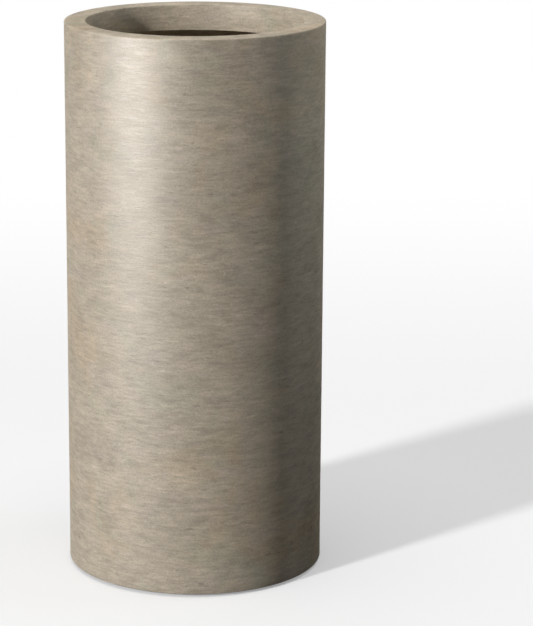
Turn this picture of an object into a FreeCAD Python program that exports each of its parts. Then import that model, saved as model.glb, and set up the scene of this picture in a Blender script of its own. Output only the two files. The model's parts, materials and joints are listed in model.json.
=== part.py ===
"""Tall round fibreglass planter: a straight laminate wall with a return-lip rim, base panel
and shelf ledge taped into it, screwed rubber pads, a lift-out planting shelf and a pull-out
drain plug.

Millimetres, +Z up. The origin is on the floor, on the planter's axis, under the pads.
"""
import FreeCAD, Part
import os
import Sketcher

os.makedirs("parts", exist_ok=True)

doc = FreeCAD.newDocument("tall_planter")

# ---------------------------------------------------------------- driving dimensions

DIMENSIONS = {
    # shell
    "outer_radius": (177.8, "outside radius of the straight wall and of the rim"),
    "shell_height": (762.0, "lower edge of the wall to the rim's flat top"),
    "foot_gap": (4.0, "daylight between the wall's lower edge and the floor"),
    "wall_thickness": (4.5, "hand-laid laminate of the wall"),
    "wall_edge_radius": (1.0, "rounding of the wall's lower outside edge"),
    "bond_gap": (0.8, "thickness of every bonding paste layer"),
    # rim
    "mouth_radius": (148.5, "inside radius of the return lip, the planter's mouth"),
    "rim_thickness": (5.0, "thickness of the rim's flat top"),
    "rim_edge_radius": (1.6, "rounding of the rim's two top edges"),
    "lip_depth": (37.0, "rim's flat top to the return lip's lower edge"),
    "lip_thickness": (4.0, "laminate of the return lip"),
    "lip_edge_radius": (1.2, "rounding of the lip's lower edges"),
    "corner_radius": (3.0, "rounding inside the laminate's corners"),
    # glass tape laid into the corners between the wall and the rim, base panel and ledge
    "tape_leg": (24.0, "tape up or down the wall"),
    "tape_reach": (24.0, "tape across the base panel and the ledge"),
    "rim_tape_reach": (16.0, "tape across the rim's underside"),
    "tape_thickness": (2.5, "glass tape laminate"),
    # base
    "panel_recess": (10.0, "wall's lower edge up to the base panel's underside"),
    "panel_thickness": (6.0, "base panel laminate"),
    # feet
    "foot_circle": (134.0, "radius of the circle that the foot pads stand on"),
    "pad_top_radius": (20.0, "foot pad against the panel"),
    "pad_bottom_radius": (18.0, "foot pad on the floor"),
    "pad_edge_radius": (1.5, "rounding of the pad's lower edge"),
    "pad_recess_radius": (8.2, "recess in the pad for washer and screw head"),
    "pad_recess_depth": (6.0, "depth of that recess"),
    "pad_hole_radius": (2.8, "screw hole through the pad"),
    "washer_radius": (7.9, "outside of the washer in the pad's recess"),
    "washer_thickness": (1.2, "washer"),
    "screw_radius": (2.5, "screw shank"),
    "screw_length": (20.0, "screw shank under its head"),
    "head_radius": (4.6, "screw head"),
    "head_height": (3.0, "screw head"),
    "head_bevel": (1.2, "slope round the screw head's crown"),
    "insert_radius": (5.0, "outside of the threaded insert"),
    "insert_bore": (2.6, "bore of the threaded insert"),
    "insert_length": (14.0, "threaded insert, from the panel's underside up"),
    "block_radius": (13.0, "block on the panel round each insert"),
    "block_height": (12.0, "that block above the panel"),
    # drain
    "drain_hole": (16.0, "radius of the hole in the middle of the panel"),
    "drain_bore": (12.0, "bore of the drain bush"),
    "bush_tail": (3.0, "bush below the panel's underside"),
    "bush_flange": (3.0, "thickness of the bush's flange on the panel"),
    "bush_flange_radius": (22.0, "bush flange"),
    "plug_shank_radius": (11.7, "plug shank, clear of the bore"),
    "plug_shank_length": (13.0, "plug shank below its flange"),
    "plug_lead_in": (1.5, "chamfer on the shank's lower end"),
    "plug_flange_radius": (17.0, "plug flange that rests on the bush"),
    "plug_flange": (4.0, "thickness of that flange"),
    "plug_neck_radius": (5.5, "neck of the pull knob"),
    "plug_neck": (6.0, "height of the neck"),
    "plug_knob_radius": (9.0, "pull knob"),
    "plug_knob": (5.0, "height of the knob"),
    "plug_edge_radius": (1.2, "rounding of the plug's edges"),
    # planting shelf and its ledge
    "planting_depth": (330.0, "rim's flat top down to the shelf's top"),
    "ledge_inner_radius": (135.0, "hole in the ledge ring"),
    "ledge_thickness": (5.0, "laminate of the ledge ring"),
    "shelf_radius": (146.0, "planting shelf, passes the mouth"),
    "shelf_thickness": (8.0, "planting shelf"),
    "shelf_edge_radius": (1.5, "rounding of the shelf's edge"),
    "ring_clearance": (2.0, "locating ring clear of the ledge's hole"),
    "ring_thickness": (4.0, "locating ring under the shelf"),
    "ring_depth": (15.0, "locating ring below the shelf"),
    "weep_radius": (5.0, "water holes through the shelf"),
    "weep_outer_circle": (110.0, "circle of the outer water holes"),
    "weep_inner_circle": (40.0, "circle of the inner water holes"),
    "finger_radius": (14.0, "finger holes for lifting the shelf"),
    "finger_circle": (72.0, "distance of the finger holes from the axis"),
}

FOOT_COUNT = 6
OUTER_WEEPS = 12
INNER_WEEPS = 4
FINGER_HOLES = 2

sheet = doc.addObject("Spreadsheet::Sheet", "dims")
for row, (alias, (size, meaning)) in enumerate(DIMENSIONS.items(), start=1):
    sheet.set("A%d" % row, alias)
    sheet.set("B%d" % row, str(size))
    sheet.set("C%d" % row, meaning)
    sheet.setAlias("B%d" % row, alias)
doc.recompute()

# Levels and radii that several pieces share, as sums of the sheet's cells.
RIM_TOP = "foot_gap + shell_height"
RIM_UNDERSIDE = RIM_TOP + " - rim_thickness"
WALL_BORE = "outer_radius - wall_thickness"
BONDED_RADIUS = WALL_BORE + " - bond_gap"
PANEL_UNDERSIDE = "foot_gap + panel_recess"
PANEL_TOP = PANEL_UNDERSIDE + " + panel_thickness"
BUSH_TOP = PANEL_TOP + " + bush_flange"
SHELF_TOP = RIM_TOP + " - planting_depth"
LEDGE_TOP = SHELF_TOP + " - shelf_thickness"
LEDGE_UNDERSIDE = LEDGE_TOP + " - ledge_thickness"
INSERT_TOP = PANEL_UNDERSIDE + " + insert_length"


# ---------------------------------------------------------------- drawing helpers

def value(terms):
    """The number that a sum such as "outer_radius - wall_thickness" comes to."""
    total = 0.0
    sign = 1.0
    for term in terms.split():
        if term in ("+", "-"):
            sign = 1.0 if term == "+" else -1.0
        elif term in DIMENSIONS:
            total += sign * DIMENSIONS[term][0]
        else:
            total += sign * float(term)
    return total


def formula(terms):
    """The same sum as an expression on the sheet's cells."""
    return " ".join("dims." + term if term in DIMENSIONS else term for term in terms.split())


def new_body(name):
    body = doc.addObject("PartDesign::Body", name)
    body.Label = name
    return body


def new_sketch(body, name, role, level=None):
    """A sketch on one of the body's own origin planes, raised to a level if one is given."""
    sketch = body.newObject("Sketcher::SketchObject", name)
    plane = [feature for feature in body.Origin.OriginFeatures if feature.Role == role][0]
    sketch.AttachmentSupport = (plane, [""])
    sketch.MapMode = "FlatFace"
    if level is not None:
        sketch.setExpression("AttachmentOffset.Base.z", formula(level))
    return sketch


def dimension(sketch, kind, place, terms):
    """Add a named dimension to a sketch and bind it to the sheet."""
    number = sketch.addConstraint(Sketcher.Constraint(kind, *place, value(terms)))
    name = "size_%d" % number
    sketch.renameConstraint(number, name)
    sketch.setExpression("Constraints." + name, formula(terms))


def draw_outline(sketch, corners):
    """Draw a closed outline whose corners are each dimensioned from the two axes."""
    points = [FreeCAD.Vector(value(across), value(up), 0) for across, up in corners]
    count = len(points)
    for index in range(count):
        sketch.addGeometry(Part.LineSegment(points[index], points[(index + 1) % count]), False)
    for index in range(count):
        sketch.addConstraint(Sketcher.Constraint("Coincident", index, 2, (index + 1) % count, 1))
    for index, (across, up) in enumerate(corners):
        dimension(sketch, "DistanceX", (-1, 1, index, 1), across)
        dimension(sketch, "DistanceY", (-1, 1, index, 1), up)


def draw_circle(sketch, distance, radius):
    """Draw a circle on the sketch's X axis at a distance from the origin."""
    centre = FreeCAD.Vector(value(distance), 0, 0)
    normal = FreeCAD.Vector(0, 0, 1)
    circle = sketch.addGeometry(Part.Circle(centre, normal, value(radius)), False)
    sketch.addConstraint(Sketcher.Constraint("PointOnObject", circle, 3, -1))
    dimension(sketch, "DistanceX", (-1, 1, circle, 3), distance)
    dimension(sketch, "Radius", (circle,), radius)


def turn(body, corners, axis_distance=None):
    """Turn an outline once round the body's Z axis, or round a line beside it."""
    sketch = new_sketch(body, body.Name + "_profile", "XZ_Plane")
    draw_outline(sketch, corners)
    axis = "V_Axis"
    if axis_distance is not None:
        low = FreeCAD.Vector(value(axis_distance), 0, 0)
        high = FreeCAD.Vector(value(axis_distance), value("foot_gap"), 0)
        line = sketch.addGeometry(Part.LineSegment(low, high), True)
        sketch.addConstraint(Sketcher.Constraint("Vertical", line))
        sketch.addConstraint(Sketcher.Constraint("PointOnObject", line, 1, -1))
        dimension(sketch, "DistanceX", (-1, 1, line, 1), axis_distance)
        dimension(sketch, "DistanceY", (line, 1, line, 2), "foot_gap")
        axis = "Axis0"
    revolution = body.newObject("PartDesign::Revolution", body.Name + "_turned")
    revolution.Profile = sketch
    revolution.ReferenceAxis = (sketch, [axis])
    revolution.Angle = 360
    doc.recompute()
    return revolution


def ring(name, inner, outer, low, high):
    """A plain ring of rectangular section."""
    body = new_body(name)
    turn(body, [(inner, low), (outer, low), (outer, high), (inner, high)])
    return body


def ring_edges(shape, rings):
    """Names of the circular edges with the given radii and heights."""
    wanted = [(value(radius), value(height)) for radius, height in rings]
    names = []
    for number, edge in enumerate(shape.Edges, start=1):
        if not isinstance(edge.Curve, Part.Circle):
            continue
        for radius, height in wanted:
            same_radius = abs(edge.Curve.Radius - radius) < 0.01
            if same_radius and abs(edge.Curve.Center.z - height) < 0.01:
                names.append("Edge%d" % number)
    if len(names) < len(wanted):
        raise RuntimeError("%d edges found for %d rings" % (len(names), len(wanted)))
    return names


def round_edges(body, name, rings, radius):
    """Round the circular edges of the body so far that lie on the given rings."""
    base = body.Tip
    fillet = body.newObject("PartDesign::Fillet", body.Name + "_" + name)
    fillet.Base = (base, ring_edges(base.Shape, rings))
    fillet.setExpression("Radius", formula(radius))
    doc.recompute()


def bevel_edges(body, name, rings, width):
    """Chamfer the circular edges of the body so far that lie on the given rings."""
    base = body.Tip
    chamfer = body.newObject("PartDesign::Chamfer", body.Name + "_" + name)
    chamfer.Base = (base, ring_edges(base.Shape, rings))
    chamfer.setExpression("Size", formula(width))
    doc.recompute()


def cut_circle(body, name, distance, radius, level):
    """A round hole down through everything below the level."""
    volume = body.Tip.Shape.Volume
    sketch = new_sketch(body, body.Name + "_" + name + "_outline", "XY_Plane", level)
    draw_circle(sketch, distance, radius)
    pocket = body.newObject("PartDesign::Pocket", body.Name + "_" + name)
    pocket.Profile = sketch
    pocket.Type = "ThroughAll"
    doc.recompute()
    if body.Tip.Shape.Volume > volume - 1.0:
        raise RuntimeError(pocket.Name + " cuts nothing")
    return pocket


def repeat_round(body, name, features, count):
    """Repeat features evenly round the body's Z axis."""
    axis = [feature for feature in body.Origin.OriginFeatures if feature.Role == "Z_Axis"][0]
    pattern = body.newObject("PartDesign::PolarPattern", body.Name + "_" + name)
    pattern.Originals = features
    pattern.Axis = (axis, [""])
    pattern.Angle = 360
    pattern.Occurrences = count
    body.Tip = pattern
    doc.recompute()


def corner_tape(name, level, side, reach):
    """Glass tape laid into the corner of the wall and a level face, above or below it."""
    body = new_body(name)
    wall_face = WALL_BORE + " - tape_thickness"
    level_face = level + side + "tape_thickness"
    turn(body, [
        (WALL_BORE, level),
        (WALL_BORE, level + side + "tape_leg"),
        (wall_face, level + side + "tape_leg"),
        (wall_face, level_face),
        (WALL_BORE + " - " + reach, level_face),
        (WALL_BORE + " - " + reach, level),
    ])
    round_edges(body, "corner", [(wall_face, level_face)], "corner_radius")
    return body


# ---------------------------------------------------------------- shell and rim

def make_wall_tube():
    """Straight laminate tube; its upper end carries the rim moulding."""
    body = ring("wall_tube", WALL_BORE, "outer_radius", "foot_gap", RIM_UNDERSIDE)
    round_edges(body, "foot_edge", [("outer_radius", "foot_gap")], "wall_edge_radius")
    return body


def make_rim_ring():
    """Flat rim that closes the wall's top edge, with a return lip down inside the mouth."""
    body = new_body("rim_ring")
    lip_end = RIM_TOP + " - lip_depth"
    lip_back = "mouth_radius + lip_thickness"
    turn(body, [
        ("mouth_radius", RIM_TOP),
        ("mouth_radius", lip_end),
        (lip_back, lip_end),
        (lip_back, RIM_UNDERSIDE),
        ("outer_radius", RIM_UNDERSIDE),
        ("outer_radius", RIM_TOP),
    ])
    round_edges(body, "top_edges", [("mouth_radius", RIM_TOP), ("outer_radius", RIM_TOP)],
                "rim_edge_radius")
    round_edges(body, "lip_edges", [("mouth_radius", lip_end), (lip_back, lip_end)],
                "lip_edge_radius")
    round_edges(body, "corner", [(lip_back, RIM_UNDERSIDE)], "corner_radius")
    return body


def make_rim_tape():
    """Glass tape that joins the rim's underside to the wall."""
    return corner_tape("rim_tape", RIM_UNDERSIDE, " - ", "rim_tape_reach")


# ---------------------------------------------------------------- base

def make_base_panel():
    """Flat base panel with a drain hole and a hole for each foot's insert."""
    body = ring("base_panel", "drain_hole", BONDED_RADIUS, PANEL_UNDERSIDE, PANEL_TOP)
    hole = cut_circle(body, "insert_hole", "foot_circle", "insert_radius", PANEL_TOP)
    repeat_round(body, "insert_holes", [hole], FOOT_COUNT)
    return body


def make_base_bond():
    """Paste bead between the panel's edge and the wall."""
    return ring("base_bond", BONDED_RADIUS, WALL_BORE, PANEL_UNDERSIDE, PANEL_TOP)


def make_base_tape():
    """Glass tape that joins the panel's top to the wall."""
    return corner_tape("base_tape", PANEL_TOP, " + ", "tape_reach")


# ---------------------------------------------------------------- feet

def make_foot_pad(number):
    """Rubber pad with a recess underneath for its washer and screw."""
    body = new_body("foot_pad_%d" % number)
    turn(body, [
        ("pad_recess_radius", "0"),
        ("pad_bottom_radius", "0"),
        ("pad_top_radius", PANEL_UNDERSIDE),
        ("pad_hole_radius", PANEL_UNDERSIDE),
        ("pad_hole_radius", "pad_recess_depth"),
        ("pad_recess_radius", "pad_recess_depth"),
    ])
    round_edges(body, "floor_edge", [("pad_bottom_radius", "0")], "pad_edge_radius")
    angle = (number - 1) * 360 / FOOT_COUNT
    body.setExpression("Placement.Base.x", "dims.foot_circle * cos(%g deg)" % angle)
    body.setExpression("Placement.Base.y", "dims.foot_circle * sin(%g deg)" % angle)
    return body


def across_foot(offset):
    """Distance from the planter's axis of a point beside a foot's own axis."""
    return "foot_circle" if offset is None else "foot_circle + " + offset


def foot_group(name, corners):
    """A turned piece on each foot's axis, as separate solids of one node."""
    body = new_body(name)
    body.AllowCompound = True
    turned = turn(body, [(across_foot(offset), up) for offset, up in corners], "foot_circle")
    repeat_round(body, "all", [turned], FOOT_COUNT)
    return body


def make_foot_blocks():
    """Blocks bonded on the panel, each with a blind hole for its insert."""
    block_top = PANEL_TOP + " + block_height"
    return foot_group("foot_blocks", [
        ("insert_radius", PANEL_TOP),
        ("block_radius", PANEL_TOP),
        ("block_radius", block_top),
        (None, block_top),
        (None, INSERT_TOP),
        ("insert_radius", INSERT_TOP),
    ])


def make_foot_inserts():
    """Threaded inserts set through the panel into the blocks."""
    return foot_group("foot_inserts", [
        ("insert_bore", PANEL_UNDERSIDE),
        ("insert_radius", PANEL_UNDERSIDE),
        ("insert_radius", INSERT_TOP),
        ("insert_bore", INSERT_TOP),
    ])


def make_foot_washers():
    """Washers at the top of the pads' recesses."""
    low = "pad_recess_depth - washer_thickness"
    return foot_group("foot_washers", [
        ("pad_hole_radius", low),
        ("washer_radius", low),
        ("washer_radius", "pad_recess_depth"),
        ("pad_hole_radius", "pad_recess_depth"),
    ])


def make_foot_screws():
    """Pan head screws that hold the pads, heads down inside the recesses."""
    seat = "pad_recess_depth - washer_thickness"
    tip = seat + " + screw_length"
    crown = seat + " - head_height"
    return foot_group("foot_screws", [
        (None, crown),
        ("head_radius - head_bevel", crown),
        ("head_radius", crown + " + head_bevel"),
        ("head_radius", seat),
        ("screw_radius", seat),
        ("screw_radius", tip),
        (None, tip),
    ])


# ---------------------------------------------------------------- drain

def make_drain_bush():
    """Flanged bush bonded into the panel's drain hole."""
    body = new_body("drain_bush")
    tail = PANEL_UNDERSIDE + " - bush_tail"
    turn(body, [
        ("drain_bore", tail),
        ("drain_hole", tail),
        ("drain_hole", PANEL_TOP),
        ("bush_flange_radius", PANEL_TOP),
        ("bush_flange_radius", BUSH_TOP),
        ("drain_bore", BUSH_TOP),
    ])
    return body


def make_drain_plug():
    """Rubber stopper with a pull knob, resting on the bush by its flange."""
    body = new_body("drain_plug")
    shank_end = BUSH_TOP + " - plug_shank_length"
    flange_top = BUSH_TOP + " + plug_flange"
    neck_top = flange_top + " + plug_neck"
    knob_top = neck_top + " + plug_knob"
    turn(body, [
        ("0", shank_end),
        ("plug_shank_radius", shank_end),
        ("plug_shank_radius", BUSH_TOP),
        ("plug_flange_radius", BUSH_TOP),
        ("plug_flange_radius", flange_top),
        ("plug_neck_radius", flange_top),
        ("plug_neck_radius", neck_top),
        ("plug_knob_radius", neck_top),
        ("plug_knob_radius", knob_top),
        ("0", knob_top),
    ])
    bevel_edges(body, "lead_in", [("plug_shank_radius", shank_end)], "plug_lead_in")
    round_edges(body, "edges", [
        ("plug_flange_radius", flange_top),
        ("plug_knob_radius", neck_top),
        ("plug_knob_radius", knob_top),
    ], "plug_edge_radius")
    return body


# ---------------------------------------------------------------- planting shelf

def make_shelf_ledge():
    """Flat ring inside the wall; the planting shelf lies on it."""
    return ring("shelf_ledge", "ledge_inner_radius", BONDED_RADIUS, LEDGE_UNDERSIDE, LEDGE_TOP)


def make_ledge_bond():
    """Paste bead between the ledge's edge and the wall."""
    return ring("ledge_bond", BONDED_RADIUS, WALL_BORE, LEDGE_UNDERSIDE, LEDGE_TOP)


def make_ledge_tape():
    """Glass tape that joins the ledge's underside to the wall."""
    return corner_tape("ledge_tape", LEDGE_UNDERSIDE, " - ", "tape_reach")


def make_planting_shelf():
    """Lift-out false floor with water holes and two finger holes."""
    body = new_body("planting_shelf")
    turn(body, [
        ("0", SHELF_TOP),
        ("0", LEDGE_TOP),
        ("shelf_radius", LEDGE_TOP),
        ("shelf_radius", SHELF_TOP),
    ])
    round_edges(body, "edge", [("shelf_radius", SHELF_TOP)], "shelf_edge_radius")
    holes = [
        ("outer_weep", "weep_outer_circle", "weep_radius", OUTER_WEEPS),
        ("inner_weep", "weep_inner_circle", "weep_radius", INNER_WEEPS),
        ("finger_hole", "finger_circle", "finger_radius", FINGER_HOLES),
    ]
    for name, circle, radius, count in holes:
        hole = cut_circle(body, name, circle, radius, SHELF_TOP)
        repeat_round(body, name + "s", [hole], count)
    return body


def make_shelf_ring():
    """Ring bonded under the shelf that keeps it centred in the ledge's hole."""
    outer = "ledge_inner_radius - ring_clearance"
    inner = outer + " - ring_thickness"
    return ring("shelf_ring", inner, outer, LEDGE_TOP + " - ring_depth", LEDGE_TOP)


# ---------------------------------------------------------------- build, test and write

pieces = [
    make_wall_tube(),
    make_rim_ring(),
    make_rim_tape(),
    make_base_panel(),
    make_base_bond(),
    make_base_tape(),
    make_foot_blocks(),
    make_foot_inserts(),
    make_foot_washers(),
    make_foot_screws(),
    make_drain_bush(),
    make_drain_plug(),
    make_shelf_ledge(),
    make_ledge_bond(),
    make_ledge_tape(),
    make_planting_shelf(),
    make_shelf_ring(),
]
pieces += [make_foot_pad(number) for number in range(1, FOOT_COUNT + 1)]
doc.recompute()

for item in doc.Objects:
    if "Invalid" in item.State or "Error" in item.State:
        raise RuntimeError(item.Name + " failed: " + ", ".join(item.State))
for piece in pieces:
    if piece.Shape.isNull() or not piece.Shape.isValid() or not piece.Shape.Solids:
        raise RuntimeError(piece.Label + " has no valid solid")

for piece in pieces:
    piece.Shape.exportStep("parts/" + piece.Label + ".step")
    box = piece.Shape.BoundBox
    print("%-16s %2d solid(s) %9.1f cm3  z %6.1f to %6.1f" % (
        piece.Label, len(piece.Shape.Solids), piece.Shape.Volume / 1000, box.ZMin, box.ZMax))
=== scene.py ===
"""Looks of the tall round planter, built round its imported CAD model.

Metres, +Z up. The origin is on the floor, on the planter's axis.
"""
import json
import math

import bmesh
import bpy
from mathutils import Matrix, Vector


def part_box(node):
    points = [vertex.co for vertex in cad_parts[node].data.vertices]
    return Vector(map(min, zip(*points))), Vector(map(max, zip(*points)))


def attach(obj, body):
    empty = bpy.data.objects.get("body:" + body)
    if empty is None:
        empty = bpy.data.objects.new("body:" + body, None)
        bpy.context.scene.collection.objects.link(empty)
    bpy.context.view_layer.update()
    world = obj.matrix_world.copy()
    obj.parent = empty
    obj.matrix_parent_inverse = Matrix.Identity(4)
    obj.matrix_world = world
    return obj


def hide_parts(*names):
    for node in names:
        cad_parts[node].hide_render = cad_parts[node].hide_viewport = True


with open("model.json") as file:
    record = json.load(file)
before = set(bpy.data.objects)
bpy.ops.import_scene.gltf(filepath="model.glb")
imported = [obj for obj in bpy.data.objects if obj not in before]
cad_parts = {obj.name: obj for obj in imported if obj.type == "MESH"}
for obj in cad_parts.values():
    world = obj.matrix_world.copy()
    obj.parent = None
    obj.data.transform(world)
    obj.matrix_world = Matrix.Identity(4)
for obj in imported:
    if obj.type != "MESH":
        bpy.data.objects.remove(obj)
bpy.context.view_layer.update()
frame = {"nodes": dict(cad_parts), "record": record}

# Sides of the shell, of the turned pieces inside it, and of those at the feet.
SIDES = 384
TURNED_SIDES = SIDES // 2
FINE_SIDES = 96

# Places closer than this are the same place.
TOUCH = 1e-5
SMOOTH_ANGLE = math.radians(30)

LIP_THICKNESS = 0.004

# Radii and levels of the shell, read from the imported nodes.
mount = [m for m in frame["record"]["mounts"] if m["name"] == "planting_mouth"][0]
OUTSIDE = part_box("wall_tube")[1].x
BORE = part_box("base_bond")[1].x
MOUTH = mount["dims"]["r_mm"] / 1000
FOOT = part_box("wall_tube")[0].z
RIM_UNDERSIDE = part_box("wall_tube")[1].z
RIM_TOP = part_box("rim_ring")[1].z
LIP_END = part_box("rim_ring")[0].z
LIP_BACK = MOUTH + LIP_THICKNESS

# Widths of the shell's rounded edges; the corner is the one behind the lip.
RIM_EDGE = 0.0016
LIP_EDGE = 0.0012
CORNER = 0.003
FOOT_EDGE = 0.001

# Undulation of the hand-finished wall, inwards only: its depth, the size of a swell, the
# margin over which it fades out, and the level cuts that give it vertices to move.
RELIEF_DEPTH = 0.00022
RELIEF_GRAIN = 0.055
RELIEF_FADE = 0.05
WALL_CUTS = 118


# ------------------------------------------------------------ modelling steps

def edit(piece):
    """Open a piece, alone selected, in edit mode with nothing selected in it."""
    bpy.ops.object.select_all(action="DESELECT")
    piece.select_set(True)
    bpy.context.view_layer.objects.active = piece
    bpy.ops.object.mode_set(mode="EDIT")
    bpy.ops.mesh.select_mode(type="VERT")
    bpy.ops.mesh.select_all(action="DESELECT")


def leave_edit():
    bpy.ops.object.mode_set(mode="OBJECT")


def select_edges(piece, wanted):
    """Select the edges, in edit mode, whose two ends pass the test."""
    bpy.ops.mesh.select_mode(type="EDGE")
    bpy.ops.mesh.select_all(action="DESELECT")
    mesh = bmesh.from_edit_mesh(piece.data)
    for edge in mesh.edges:
        if wanted(edge.verts[0].co, edge.verts[1].co):
            edge.select = True
    mesh.select_flush_mode()
    bmesh.update_edit_mesh(piece.data)


def select_faces(piece, wanted):
    """Select the faces, in edit mode, whose centre passes the test."""
    bpy.ops.mesh.select_mode(type="FACE")
    bpy.ops.mesh.select_all(action="DESELECT")
    mesh = bmesh.from_edit_mesh(piece.data)
    for face in mesh.faces:
        if wanted(face.calc_center_median()):
            face.select = True
    mesh.select_flush_mode()
    bmesh.update_edit_mesh(piece.data)


def start_circle(name, radius, level, sides):
    """A bare circle, its place applied, left open in edit mode and all selected."""
    bpy.ops.object.select_all(action="DESELECT")
    bpy.ops.mesh.primitive_circle_add(vertices=sides, radius=radius, location=(0, 0, level))
    piece = bpy.context.object
    piece.name = name
    piece.data.name = name
    bpy.ops.object.transform_apply(location=True, rotation=True, scale=True)
    edit(piece)
    bpy.ops.mesh.select_all(action="SELECT")
    return piece


def draw_shell(name, outline, sides, capped=False):
    """Extrude a circle from corner to corner of an outline of (radius, level).

    The outline is closed round to its first corner, or its two ends are capped.
    """
    radius, level = outline[0]
    piece = start_circle(name, radius, level, sides)
    for next_radius, next_level in outline[1:] + ([] if capped else outline[:1]):
        rise = next_level - level
        ratio = next_radius / radius
        bpy.ops.mesh.extrude_region_move(TRANSFORM_OT_translate={"value": (0, 0, rise)})
        bpy.ops.transform.resize(value=(ratio, ratio, 1), center_override=(0, 0, next_level))
        radius, level = next_radius, next_level
    bpy.ops.mesh.select_all(action="SELECT")
    if capped:
        bpy.ops.mesh.fill_holes(sides=0)
    else:
        bpy.ops.mesh.remove_doubles(threshold=TOUCH)
    bpy.ops.mesh.select_all(action="SELECT")
    bpy.ops.mesh.normals_make_consistent(inside=False)
    return piece


def on_ring(point, radius, level):
    return abs(point.xy.length - radius) < TOUCH and abs(point.z - level) < TOUCH


def round_ring(piece, radius, level, width, segments=4):
    """Round the edge that runs round the piece at this radius and level."""
    select_edges(piece, lambda a, b: on_ring(a, radius, level) and on_ring(b, radius, level))
    bpy.ops.mesh.bevel(offset=width, segments=segments, affect="EDGES")


def finish_piece(piece, body, slot, *nodes):
    """Smooth the piece, out of edit mode and still selected, attach it to its body and hide the
    nodes that it stands for.
    """
    bpy.ops.object.shade_smooth_by_angle(angle=SMOOTH_ANGLE)
    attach(piece, body)
    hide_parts(*nodes)


# ------------------------------------------------------------ materials

def new_material(name, **sockets):
    """A material with one Principled shader, whose plain values are given by socket name."""
    material = bpy.data.materials.new(name)
    material.use_nodes = True
    tree = material.node_tree
    tree.nodes.clear()
    output = tree.nodes.new("ShaderNodeOutputMaterial")
    shader = tree.nodes.new("ShaderNodeBsdfPrincipled")
    tree.links.new(shader.outputs["BSDF"], output.inputs["Surface"])
    for socket, number in sockets.items():
        shader.inputs[socket.replace("_", " ")].default_value = number
    return material, tree, shader


def join(tree, source, socket):
    """Link an output to a socket, or set the socket if it is a plain value."""
    if isinstance(source, bpy.types.NodeSocket):
        tree.links.new(source, socket)
    else:
        socket.default_value = source


def coordinate(tree, axis, space="Object"):
    """One of the three coordinates."""
    where = tree.nodes.new("ShaderNodeTexCoord")
    apart = tree.nodes.new("ShaderNodeSeparateXYZ")
    tree.links.new(where.outputs[space], apart.inputs["Vector"])
    return apart.outputs[axis]


def spread(tree, per_metre):
    """Object coordinates with their own scale along each axis."""
    where = tree.nodes.new("ShaderNodeTexCoord")
    mapping = tree.nodes.new("ShaderNodeMapping")
    mapping.inputs["Scale"].default_value = per_metre
    tree.links.new(where.outputs["Object"], mapping.inputs["Vector"])
    return mapping.outputs["Vector"]


def noise(tree, per_metre, detail=3.0, roughness=0.5, distortion=0.0):
    """Cloudy noise from 0 to 1 with so many grains per metre along X, Y and Z."""
    texture = tree.nodes.new("ShaderNodeTexNoise")
    texture.inputs["Scale"].default_value = 1.0
    texture.inputs["Detail"].default_value = detail
    texture.inputs["Roughness"].default_value = roughness
    texture.inputs["Distortion"].default_value = distortion
    tree.links.new(spread(tree, per_metre), texture.inputs["Vector"])
    return texture.outputs["Fac"]


def remap(tree, source, low, high, to_low=0.0, to_high=1.0):
    """Stretch the range from low to high, smoothly and clamped, to another range."""
    node = tree.nodes.new("ShaderNodeMapRange")
    node.interpolation_type = "SMOOTHSTEP"
    tree.links.new(source, node.inputs["Value"])
    node.inputs["From Min"].default_value = low
    node.inputs["From Max"].default_value = high
    node.inputs["To Min"].default_value = to_low
    node.inputs["To Max"].default_value = to_high
    return node.outputs["Result"]


def calculate(tree, operation, first, second=0.0):
    """The result of a sum, each term an output or a plain number."""
    node = tree.nodes.new("ShaderNodeMath")
    node.operation = operation
    join(tree, first, node.inputs[0])
    join(tree, second, node.inputs[1])
    return node.outputs["Value"]


def blend_colours(tree, factor, below, above, way="MIX"):
    """Mix two colours, each an output or a plain RGB."""
    node = tree.nodes.new("ShaderNodeMix")
    node.data_type = "RGBA"
    node.blend_type = way
    join(tree, factor, node.inputs["Factor"])
    for source, socket in ((below, node.inputs["A"]), (above, node.inputs["B"])):
        plain = not isinstance(source, bpy.types.NodeSocket)
        join(tree, (*source, 1.0) if plain else source, socket)
    return node.outputs["Result"]


def shade(tree, colour, source, low, high):
    """Darken and lighten a colour: times low where the source is 0, times high where it is 1."""
    level = remap(tree, source, 0.0, 1.0, low, high)
    node = tree.nodes.new("ShaderNodeCombineColor")
    for channel in ("Red", "Green", "Blue"):
        tree.links.new(level, node.inputs[channel])
    return blend_colours(tree, 1.0, colour, node.outputs["Color"], "MULTIPLY")


def raise_surface(tree, shader, height, depth, below=None):
    """Bump the surface by the height, whose full range is so many metres deep."""
    node = tree.nodes.new("ShaderNodeBump")
    node.inputs["Distance"].default_value = depth
    tree.links.new(height, node.inputs["Height"])
    if below is not None:
        tree.links.new(below, node.inputs["Normal"])
    tree.links.new(node.outputs["Normal"], shader.inputs["Normal"])
    return node.outputs["Normal"]


def chalky_gloss(tree, shader, roughness):
    """Let a chalky surface lose its gloss where it is seen at a grazing angle."""
    weight = tree.nodes.new("ShaderNodeLayerWeight")
    weight.inputs["Blend"].default_value = 0.5
    dulled = remap(tree, weight.outputs["Facing"], DULL_START, DULL_END, 0.0, DULLED_BY)
    tree.links.new(calculate(tree, "ADD", roughness, dulled), shader.inputs["Roughness"])


# ------------------------------------------------------------ finishes

# Specular level of the chalky surfaces, how far off square they begin and end to go dull,
# from 0 square on to 1 edge on, and the roughness that this adds.
CHALKY = 0.16
DULL_START = 0.32
DULL_END = 0.68
DULLED_BY = 0.40

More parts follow.
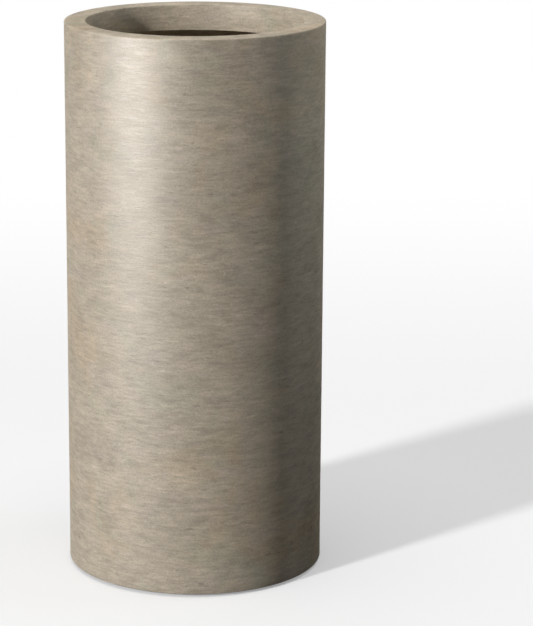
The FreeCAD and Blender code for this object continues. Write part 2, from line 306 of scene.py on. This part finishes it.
STONE = (0.458, 0.389, 0.300)
DASH = (0.15, 0.125, 0.095)
SCRATCH = (0.68, 0.62, 0.50)
RAW = (0.20, 0.18, 0.15)
RAW_STRAND = (0.30, 0.28, 0.24)
SHELF = (0.345, 0.31, 0.25)
SHELF_STRAND = (0.45, 0.42, 0.36)
TAPE_GAP = (0.15, 0.14, 0.115)
TAPE_YARN = (0.33, 0.32, 0.28)

# Drifts of the stone coat, warm, green and pink: the colour, grains per metre, roughness and
# distortion of the noise, the levels between which the drift comes in, and its share.
STONE_DRIFTS = (
    ((0.472, 0.385, 0.278), (9, 9, 8), 0.55, 0.6, 0.48, 0.66, 1.0),
    ((0.418, 0.384, 0.290), (16, 16, 14), 0.6, 0.5, 0.50, 0.68, 0.75),
    ((0.468, 0.392, 0.325), (22, 22, 26), 0.6, 0.4, 0.52, 0.70, 0.6),
)

# Shares by which each kind of mark darkens and lightens the stone coat, or covers it.
CLOUD_REACH = 0.16
SMUDGE_REACH = 0.20
STREAK_REACH = 0.27
GRAIN_REACH = 0.21
DASH_SHARE = 0.38
SCRATCH_SHARE = 0.5

# Levels between which the coat sprayed into the mouth thins out, and how unevenly.
SPRAY_START = 0.66
SPRAY_END = 0.50
SPRAY_RAGGED = 0.10

STRAND_SHARE = 0.5
TAPE_WAVES = (95, 95, 95)

# Least and greatest roughness.
STONE_ROUGHNESS = (0.44, 0.58)
SPRAYED_ROUGHNESS = (0.45, 0.75)
LAMINATE_ROUGHNESS = (0.50, 0.75)
TAPE_ROUGHNESS = (0.3, 0.6)

# Depths of the bumps in the surfaces.
STREAK_DEPTH = 0.00028
GRAIN_DEPTH = 0.00010
SCRATCH_DEPTH = 0.00006
SPRAYED_DEPTH = 0.0012
STRAND_DEPTH = 0.00025
RESIN_DEPTH = 0.0007
WEAVE_DEPTH = 0.0004


def stone_finish():
    """Satin stone-effect coat: drifting greys and browns under fine level streaks and specks."""
    material, tree, shader = new_material("stone_finish", Specular_IOR_Level=CHALKY)

    colour = STONE
    for tone, per_metre, roughness, distortion, start, full, share in STONE_DRIFTS:
        drift = noise(tree, per_metre, detail=4, roughness=roughness, distortion=distortion)
        drift = calculate(tree, "MULTIPLY", remap(tree, drift, start, full), share)
        colour = blend_colours(tree, drift, colour, tone)

    cloud = noise(tree, (15, 15, 24), detail=4, roughness=0.6, distortion=0.4)
    smudge = noise(tree, (30, 30, 105), detail=3, roughness=0.6, distortion=0.5)
    streak = noise(tree, (48, 48, 290), detail=4, roughness=0.68, distortion=0.3)
    grain = noise(tree, (390, 390, 520), detail=2, roughness=0.6)
    for mark, reach in ((cloud, CLOUD_REACH), (smudge, SMUDGE_REACH),
                        (streak, STREAK_REACH), (grain, GRAIN_REACH)):
        colour = shade(tree, colour, mark, 1 - reach, 1 + reach)

    # sparse dark dashes
    dash = noise(tree, (65, 65, 230), detail=2, roughness=0.5, distortion=0.4)
    dash = calculate(tree, "MULTIPLY", remap(tree, dash, 0.67, 0.74), DASH_SHARE)
    colour = blend_colours(tree, dash, colour, DASH)

    # pale trowel scratches, along the lines where a noise crosses its middle, in patches
    line = noise(tree, (50, 50, 130), detail=1, roughness=0.4, distortion=1.6)
    line = calculate(tree, "ABSOLUTE", calculate(tree, "SUBTRACT", line, 0.5))
    line = remap(tree, line, 0.0, 0.020, 1.0, 0.0)
    patch = remap(tree, noise(tree, (20, 20, 30), detail=2), 0.56, 0.66)
    scratch = calculate(tree, "MULTIPLY", line, patch)
    pale = calculate(tree, "MULTIPLY", scratch, SCRATCH_SHARE)
    colour = blend_colours(tree, pale, colour, SCRATCH)
    tree.links.new(colour, shader.inputs["Base Color"])

    chalky_gloss(tree, shader, remap(tree, streak, 0.25, 0.75, *STONE_ROUGHNESS))
    relief = raise_surface(tree, shader, streak, STREAK_DEPTH)
    relief = raise_surface(tree, shader, grain, GRAIN_DEPTH, relief)
    raise_surface(tree, shader, scratch, SCRATCH_DEPTH, relief)
    return material


def resin_mottle(tree):
    """The slow mottling of hand-laid resin."""
    return noise(tree, (30, 30, 30), detail=5, roughness=0.6, distortion=0.4)


def raw_laminate(name, colour, strand_colour):
    """Resin-rich laminate with its chopped glass strands, in three directions, faintly visible."""
    material, tree, shader = new_material(name, Specular_IOR_Level=CHALKY)
    strands = 0.0
    for direction in ((220, 40, 90), (40, 220, 70), (90, 60, 230)):
        strand = noise(tree, direction, detail=2, roughness=0.5, distortion=1.5)
        strands = calculate(tree, "MAXIMUM", strands, remap(tree, strand, 0.55, 0.68))
    mottle = resin_mottle(tree)
    faint = calculate(tree, "MULTIPLY", strands, STRAND_SHARE)
    tint = blend_colours(tree, faint, colour, strand_colour)
    tree.links.new(shade(tree, tint, mottle, 0.6, 1.4), shader.inputs["Base Color"])
    chalky_gloss(tree, shader, remap(tree, mottle, 0.3, 0.7, *LAMINATE_ROUGHNESS))
    below = raise_surface(tree, shader, strands, STRAND_DEPTH)
    raise_surface(tree, shader, mottle, RESIN_DEPTH, below)
    return material


def oversprayed_laminate():
    """Raw laminate with the stone coat sprayed a little way down from the mouth."""
    material, tree, shader = new_material("oversprayed", Specular_IOR_Level=CHALKY)
    mottle = resin_mottle(tree)
    ragged = calculate(tree, "MULTIPLY", mottle, SPRAY_RAGGED)
    level = calculate(tree, "ADD", coordinate(tree, "Z"), ragged)
    tint = blend_colours(tree, remap(tree, level, SPRAY_END, SPRAY_START), RAW, STONE)
    tree.links.new(shade(tree, tint, mottle, 0.8, 1.3), shader.inputs["Base Color"])
    chalky_gloss(tree, shader, remap(tree, mottle, 0.3, 0.7, *SPRAYED_ROUGHNESS))
    raise_surface(tree, shader, mottle, SPRAYED_DEPTH)
    return material


def glass_tape():
    """Woven glass tape wetted out with dark resin; the weave is crossed waves."""
    material, tree, shader = new_material("glass_tape", Specular_IOR_Level=0.5)
    weave = 1.0
    for axis in ("X", "Y", "Z"):
        wave = tree.nodes.new("ShaderNodeTexWave")
        wave.bands_direction = axis
        wave.inputs["Scale"].default_value = 1.0
        wave.inputs["Distortion"].default_value = 1.2
        wave.inputs["Detail Scale"].default_value = 0.4
        tree.links.new(spread(tree, TAPE_WAVES), wave.inputs["Vector"])
        weave = calculate(tree, "MULTIPLY", weave, wave.outputs["Fac"])
    mottle = noise(tree, (45, 45, 45), detail=4, roughness=0.6)
    tint = blend_colours(tree, weave, TAPE_GAP, TAPE_YARN)
    tree.links.new(shade(tree, tint, mottle, 0.7, 1.3), shader.inputs["Base Color"])
    tree.links.new(remap(tree, mottle, 0.3, 0.7, *TAPE_ROUGHNESS), shader.inputs["Roughness"])
    raise_surface(tree, shader, weave, WEAVE_DEPTH)
    return material


def speckled(name, colour, variation, per_metre, rough, depth, metallic=0.0):
    """A plain coloured material with fine mottling in colour, gloss and surface."""
    material, tree, shader = new_material(name, Metallic=metallic)
    mottle = noise(tree, per_metre, detail=4, roughness=0.6)
    tint = shade(tree, colour, mottle, 1 - variation, 1 + variation)
    tree.links.new(tint, shader.inputs["Base Color"])
    tree.links.new(remap(tree, mottle, 0.25, 0.75, *rough), shader.inputs["Roughness"])
    raise_surface(tree, shader, mottle, depth)
    return material


# Plain finishes: colour, variation, grains per metre, roughness, depth of the bumps, metallic.
SPECKLED = {
    "bond_paste": ((0.33, 0.34, 0.33), 0.2, (120, 120, 120), (0.6, 0.8), 0.0006, 0.0),
    "bush_plastic": ((0.03, 0.03, 0.032), 0.3, (700, 700, 700), (0.3, 0.45), 0.00004, 0.0),
    "plug_rubber": ((0.032, 0.031, 0.03), 0.35, (500, 500, 500), (0.55, 0.75), 0.00008, 0.0),
    "pad_rubber": ((0.028, 0.028, 0.03), 0.35, (400, 400, 400), (0.6, 0.8), 0.0001, 0.0),
    "zinc_steel": ((0.58, 0.58, 0.57), 0.12, (900, 900, 900), (0.28, 0.45), 0.00002, 1.0),
    "insert_brass": ((0.70, 0.52, 0.25), 0.12, (900, 900, 200), (0.25, 0.4), 0.00002, 1.0),
}

FINISHES = {
    "stone_finish": stone_finish(),
    "oversprayed": oversprayed_laminate(),
    "raw_laminate": raw_laminate("raw_laminate", RAW, RAW_STRAND),
    "shelf_laminate": raw_laminate("shelf_laminate", SHELF, SHELF_STRAND),
    "glass_tape": glass_tape(),
    **{name: speckled(name, *values) for name, values in SPECKLED.items()},
}


def dress(piece, finish):
    """Give a piece one finish in its only material slot."""
    piece.data.materials.clear()
    piece.data.materials.append(FINISHES[finish])


# ------------------------------------------------------------ shell and rim

def relieve(piece):
    """Press the hand finish's slow undulation into the outside, fading at the joint and foot."""
    group = piece.vertex_groups.new(name="outside")
    for vertex in piece.data.vertices:
        if vertex.co.xy.length < OUTSIDE - TOUCH:
            continue
        margin = min(vertex.co.z - FOOT, RIM_UNDERSIDE - vertex.co.z)
        share = min(max(margin / RELIEF_FADE, 0.0), 1.0)
        group.add([vertex.index], share * share * (3 - 2 * share), "REPLACE")
    texture = bpy.data.textures.new("undulation", "CLOUDS")
    texture.noise_scale = RELIEF_GRAIN
    texture.noise_depth = 1
    press = piece.modifiers.new("press", "DISPLACE")
    press.texture = texture
    press.texture_coords = "LOCAL"
    press.vertex_group = "outside"
    press.strength = -RELIEF_DEPTH
    press.mid_level = 0.0
    bpy.ops.object.modifier_apply(modifier="press")


def make_wall():
    """Outer wall: stone finish outside, oversprayed laminate inside."""
    wall = draw_shell("planter_wall", [
        (OUTSIDE, FOOT),
        (OUTSIDE, RIM_UNDERSIDE),
        (BORE, RIM_UNDERSIDE),
        (BORE, FOOT),
    ], SIDES)
    select_edges(wall, lambda a, b: abs(a.z - b.z) > TOUCH
                 and min(a.xy.length, b.xy.length) > OUTSIDE - TOUCH)
    bpy.ops.mesh.subdivide(number_cuts=WALL_CUTS)
    round_ring(wall, OUTSIDE, FOOT, FOOT_EDGE)
    leave_edit()
    dress(wall, "stone_finish")
    wall.data.materials.append(FINISHES["oversprayed"])
    wall.active_material_index = 1
    edit(wall)
    select_faces(wall, lambda centre: centre.xy.length < BORE + TOUCH)
    bpy.ops.object.material_slot_assign()
    leave_edit()
    relieve(wall)
    finish_piece(wall, "planter", "stone_finish", "wall_tube")


def make_rim():
    """Flat rim with its return lip, rounded along the edges that a hand meets."""
    rim = draw_shell("planter_rim", [
        (OUTSIDE, RIM_UNDERSIDE),
        (OUTSIDE, RIM_TOP),
        (MOUTH, RIM_TOP),
        (MOUTH, LIP_END),
        (LIP_BACK, LIP_END),
        (LIP_BACK, RIM_UNDERSIDE),
    ], SIDES)
    for radius, level, width in (
            (OUTSIDE, RIM_TOP, RIM_EDGE),
            (MOUTH, RIM_TOP, RIM_EDGE),
            (MOUTH, LIP_END, LIP_EDGE),
            (LIP_BACK, LIP_END, LIP_EDGE),
            (LIP_BACK, RIM_UNDERSIDE, CORNER)):
        round_ring(rim, radius, level, width)
    leave_edit()
    dress(rim, "stone_finish")
    finish_piece(rim, "planter", "stone_finish", "rim_ring")


# ------------------------------------------------------------ ledge, shelf ring, drain and feet

# Radii, except for the thicknesses, the head's height, the key socket's depth and the level of
# the top of the blocks' blind holes.
LEDGE_HOLE = 0.135
RING_THICKNESS = 0.004
FOOT_CIRCLE = 0.134
BUSH_BORE = 0.012
BUSH_SLEEVE = 0.016
FLANGE_THICKNESS = 0.003
BLOCK_HOLE = 0.005
BLOCK_HOLE_TOP = 0.028
WASHER_HOLE = 0.0028
HEAD_RADIUS = 0.0046
HEAD_HEIGHT = 0.003
SHANK_RADIUS = 0.0025
KEY_RADIUS = 0.00173
KEY_DEPTH = 0.0016

FOOT_COUNT = 6

# Dome of a screw's head: radius, and height above the crown, which faces down.
HEAD_DOME = ((0.0022, 0.0), (0.0035, 0.0003), (0.0042, 0.0010), (HEAD_RADIUS, 0.0021))

# Widths of the eased edges of larger and of small pieces.
EASED = 0.0008
FINE_EASED = 0.0003


def make_turned(name, node, body, slot, outline, rounded, width, capped=False, feet=False):
    """A piece turned about the axis, or about each foot's axis, with some of its edges rounded."""
    piece = draw_shell(name, outline, FINE_SIDES if feet else TURNED_SIDES, capped)
    for radius, level in rounded:
        round_ring(piece, radius, level, width, segments=3)
    if feet:
        set_out(piece)
    leave_edit()
    dress(piece, slot)
    finish_piece(piece, body, slot, node)


def set_out(piece):
    """Move a piece, in edit mode, from the axis to the first foot and copy it to the others."""
    bpy.ops.mesh.select_all(action="SELECT")
    bpy.ops.transform.translate(value=(FOOT_CIRCLE, 0, 0))
    for _ in range(FOOT_COUNT - 1):
        bpy.ops.mesh.duplicate()
        bpy.ops.transform.rotate(
            value=math.tau / FOOT_COUNT, orient_axis="Z", center_override=(0, 0, 0))


def make_ledge():
    """Flat ring in the wall that carries the shelf."""
    low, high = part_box("shelf_ledge")
    make_turned("ledge", "shelf_ledge", "planter", "raw_laminate", [
        (LEDGE_HOLE, low.z), (high.x, low.z), (high.x, high.z), (LEDGE_HOLE, high.z),
    ], [(LEDGE_HOLE, low.z), (LEDGE_HOLE, high.z)], EASED)


def make_shelf_ring():
    """Ring under the shelf that keeps it in the middle of the ledge's hole."""
    low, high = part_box("shelf_ring")
    inside = high.x - RING_THICKNESS
    make_turned("locating_ring", "shelf_ring", "shelf", "shelf_laminate", [
        (inside, low.z), (high.x, low.z), (high.x, high.z), (inside, high.z),
    ], [(inside, low.z), (high.x, low.z)], EASED)


def make_bush():
    """Flanged drain bush with its edges eased as a moulding's are."""
    low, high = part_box("drain_bush")
    under_flange = high.z - FLANGE_THICKNESS
    make_turned("bush", "drain_bush", "planter", "bush_plastic", [
        (BUSH_BORE, low.z), (BUSH_SLEEVE, low.z), (BUSH_SLEEVE, under_flange),
        (high.x, under_flange), (high.x, high.z), (BUSH_BORE, high.z),
    ], [
        (BUSH_BORE, low.z), (BUSH_SLEEVE, low.z), (high.x, high.z), (BUSH_BORE, high.z),
    ], EASED)


def make_blocks():
    """Blocks on the base panel, each with the blind hole for its insert."""
    low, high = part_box("foot_blocks")
    radius = high.x - FOOT_CIRCLE
    make_turned("blocks", "foot_blocks", "planter", "raw_laminate", [
        (BLOCK_HOLE, BLOCK_HOLE_TOP), (BLOCK_HOLE, low.z), (radius, low.z), (radius, high.z),
    ], [(radius, high.z)], 2 * EASED, capped=True, feet=True)


def make_washers():
    """Washers in the pads' recesses, their punched edges eased."""
    low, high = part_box("foot_washers")
    radius = high.x - FOOT_CIRCLE
    make_turned("washers", "foot_washers", "planter", "zinc_steel", [
        (WASHER_HOLE, low.z), (radius, low.z), (radius, high.z), (WASHER_HOLE, high.z),
    ], [
        (radius, low.z), (WASHER_HOLE, low.z), (radius, high.z),
    ], FINE_EASED, feet=True)


def make_screws():
    """Button head screws, seen from below, each with a hexagonal key socket."""
    low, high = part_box("foot_screws")
    seat = low.z + HEAD_HEIGHT
    dome = [(radius, low.z + height) for radius, height in HEAD_DOME]
    piece = draw_shell("screws", dome + [
        (HEAD_RADIUS, seat), (SHANK_RADIUS, seat),
        (SHANK_RADIUS, high.z - EASED), (SHANK_RADIUS - EASED, high.z),
    ], FINE_SIDES, capped=True)
    round_ring(piece, HEAD_RADIUS, seat, FINE_EASED, segments=2)
    leave_edit()

    bpy.ops.object.select_all(action="DESELECT")
    bpy.ops.mesh.primitive_cylinder_add(
        vertices=6, radius=KEY_RADIUS, depth=2 * KEY_DEPTH, location=(0, 0, low.z))
    key = bpy.context.object
    bpy.ops.object.transform_apply(location=True, rotation=True, scale=True)
    cut = piece.modifiers.new("socket", "BOOLEAN")
    cut.operation = "DIFFERENCE"
    cut.solver = "EXACT"
    cut.object = key
    bpy.ops.object.select_all(action="DESELECT")
    piece.select_set(True)
    bpy.context.view_layer.objects.active = piece
    bpy.ops.object.modifier_apply(modifier="socket")
    bpy.data.objects.remove(key)

    edit(piece)
    set_out(piece)
    leave_edit()
    dress(piece, "zinc_steel")
    finish_piece(piece, "planter", "zinc_steel", "foot_screws")


make_wall()
make_rim()
make_ledge()
make_shelf_ring()
make_bush()
make_blocks()
make_washers()
make_screws()

# the solids that stay visible wear the finish of their slot
for row in frame["record"]["subparts"]:
    node = frame["nodes"][row["node"]]
    if not node.hide_render:
        dress(node, row["material_slot"])


# ------------------------------------------------------------ floor, light and camera

FLOOR_SIZE = 60.0

# The floor as the camera sees it, and as it throws light back on the wall, which is little.
FLOOR_SEEN = (1.0, 1.0, 1.0, 1)
FLOOR_BOUNCE = (0.03, 0.03, 0.03, 1)

# The floor's share of plain white, near and far, and how far back it changes.
WHITE_NEAR = 0.32
WHITE_FAR = 1.0
FADE_START = 0.6
FADE_END = 2.6

# The key lamp stands this far to the left of the front, and this far above the horizon.
KEY_TURN = math.radians(48.7)
KEY_HEIGHT = math.radians(22)
OVERHEAD_HEIGHT = math.radians(90)

# The sky's light overhead, how fast it falls off, and what is left at the horizon.
SKY_OVERHEAD = 0.22
SKY_FALL = 4.0
SKY_HORIZON = 0.02

# The camera that gives the photograph's outline; sensor and lens are in millimetres.
SENSOR = 36.0
LENS = 152.78
SHIFT = 0.1142
CAMERA_PLACE = (0, -3.58694, 1.29003)
CAMERA_TIP = math.radians(75.383)


def seen_directly(tree):
    """1 for what the camera sees, directly, in a gloss or through something clear, else 0."""
    ray = tree.nodes.new("ShaderNodeLightPath")
    seen = calculate(
        tree, "MAXIMUM", ray.outputs["Is Camera Ray"], ray.outputs["Is Transmission Ray"])
    return calculate(tree, "MAXIMUM", seen, ray.outputs["Is Glossy Ray"])


def mix_shaders(tree, factor, first, second):
    """Mix two shader outputs, and give the mixed one."""
    node = tree.nodes.new("ShaderNodeMixShader")
    tree.links.new(factor, node.inputs["Fac"])
    tree.links.new(first, node.inputs[1])
    tree.links.new(second, node.inputs[2])
    return node.outputs["Shader"]


def make_floor():
    """Pale floor that fades to white behind the planter; seen from below it is clear."""
    bpy.ops.object.select_all(action="DESELECT")
    bpy.ops.mesh.primitive_plane_add(size=FLOOR_SIZE, location=(0, 0, 0))
    floor = bpy.context.object
    floor.name = "floor"
    material = bpy.data.materials.new("pale_floor")
    material.use_nodes = True
    tree = material.node_tree
    tree.nodes.clear()
    output = tree.nodes.new("ShaderNodeOutputMaterial")
    bounce = tree.nodes.new("ShaderNodeBsdfDiffuse")
    bounce.inputs["Color"].default_value = FLOOR_BOUNCE
    seen = tree.nodes.new("ShaderNodeBsdfDiffuse")
    seen.inputs["Color"].default_value = FLOOR_SEEN
    white = tree.nodes.new("ShaderNodeEmission")
    clear = tree.nodes.new("ShaderNodeBsdfTransparent")
    side = tree.nodes.new("ShaderNodeNewGeometry")
    far = remap(tree, coordinate(tree, "Y"), FADE_START, FADE_END, WHITE_NEAR, WHITE_FAR)
    pale = mix_shaders(tree, far, seen.outputs["BSDF"], white.outputs["Emission"])
    above = mix_shaders(tree, seen_directly(tree), bounce.outputs["BSDF"], pale)
    both = mix_shaders(tree, side.outputs["Backfacing"], above, clear.outputs["BSDF"])
    tree.links.new(both, output.inputs["Surface"])
    floor.data.materials.append(material)


def add_sun(name, strength, height, width):
    """A distant lamp at the front left, so high above the horizon and so many degrees wide."""
    light = bpy.data.lights.new(name, "SUN")
    light.energy = strength
    light.angle = math.radians(width)
    lamp = bpy.data.objects.new(name, light)
    bpy.context.scene.collection.objects.link(lamp)
    level = math.cos(height)
    towards = Vector((-math.sin(KEY_TURN) * level, -math.cos(KEY_TURN) * level, math.sin(height)))
    lamp.rotation_euler = towards.to_track_quat("Z", "Y").to_euler()


def add_softbox(name, power, tint, size, place, aim, beam=180, gloss_only=False):
    """A rectangular lamp with its beam's width in degrees; it may show in gloss alone."""
    light = bpy.data.lights.new(name, "AREA")
    light.energy = power
    light.color = tint
    light.spread = math.radians(beam)
    light.shape = "RECTANGLE"
    light.size, light.size_y = size
    lamp = bpy.data.objects.new(name, light)
    bpy.context.scene.collection.objects.link(lamp)
    lamp.location = place
    lamp.rotation_euler = (Vector(place) - Vector(aim)).to_track_quat("Z", "Y").to_euler()
    lamp.visible_diffuse = not gloss_only


def light_world():
    """Soft light from overhead that falls off towards the horizon, white where it is seen."""
    world = bpy.data.worlds.new("studio")
    bpy.context.scene.world = world
    world.use_nodes = True
    tree = world.node_tree
    tree.nodes.clear()
    output = tree.nodes.new("ShaderNodeOutputWorld")
    lit = tree.nodes.new("ShaderNodeBackground")
    seen = tree.nodes.new("ShaderNodeBackground")
    seen.inputs["Color"].default_value = (1, 1, 1, 1)
    up = calculate(tree, "MAXIMUM", coordinate(tree, "Z", space="Generated"), 0.0)
    up = calculate(tree, "POWER", up, SKY_FALL)
    sky = calculate(tree, "ADD", calculate(tree, "MULTIPLY", up, SKY_OVERHEAD), SKY_HORIZON)
    tree.links.new(sky, lit.inputs["Strength"])
    mixed = mix_shaders(
        tree, seen_directly(tree), lit.outputs["Background"], seen.outputs["Background"])
    tree.links.new(mixed, output.inputs["Surface"])


def make_camera():
    """The photograph's view: a long lens tipped down, shifted so that the planter stands left."""
    camera = bpy.data.cameras.new("camera")
    camera.sensor_width = SENSOR
    camera.lens = LENS
    camera.shift_x = SHIFT
    seat = bpy.data.objects.new("camera", camera)
    bpy.context.scene.collection.objects.link(seat)
    seat.location = CAMERA_PLACE
    seat.rotation_euler = (CAMERA_TIP, 0, 0)
    bpy.context.scene.camera = seat


make_floor()
add_sun("key", strength=2.85, height=KEY_HEIGHT, width=5)
add_sun("overhead", strength=1.35, height=OVERHEAD_HEIGHT, width=50)
add_softbox("fill", power=1.6, tint=(0.88, 0.96, 1.0), size=(0.8, 0.8),
            place=(1.4, 0.25, 1.1), aim=(0.1, 0, 0.95), beam=75)
add_softbox("sheen", power=215.0, tint=(1.0, 0.975, 0.935), size=(1.0, 0.7),
            place=(-1.22, -1.01, 0.62), aim=(0, 0, 0.62), gloss_only=True)
light_world()
make_camera()
bpy.context.scene.view_settings.view_transform = "Standard"
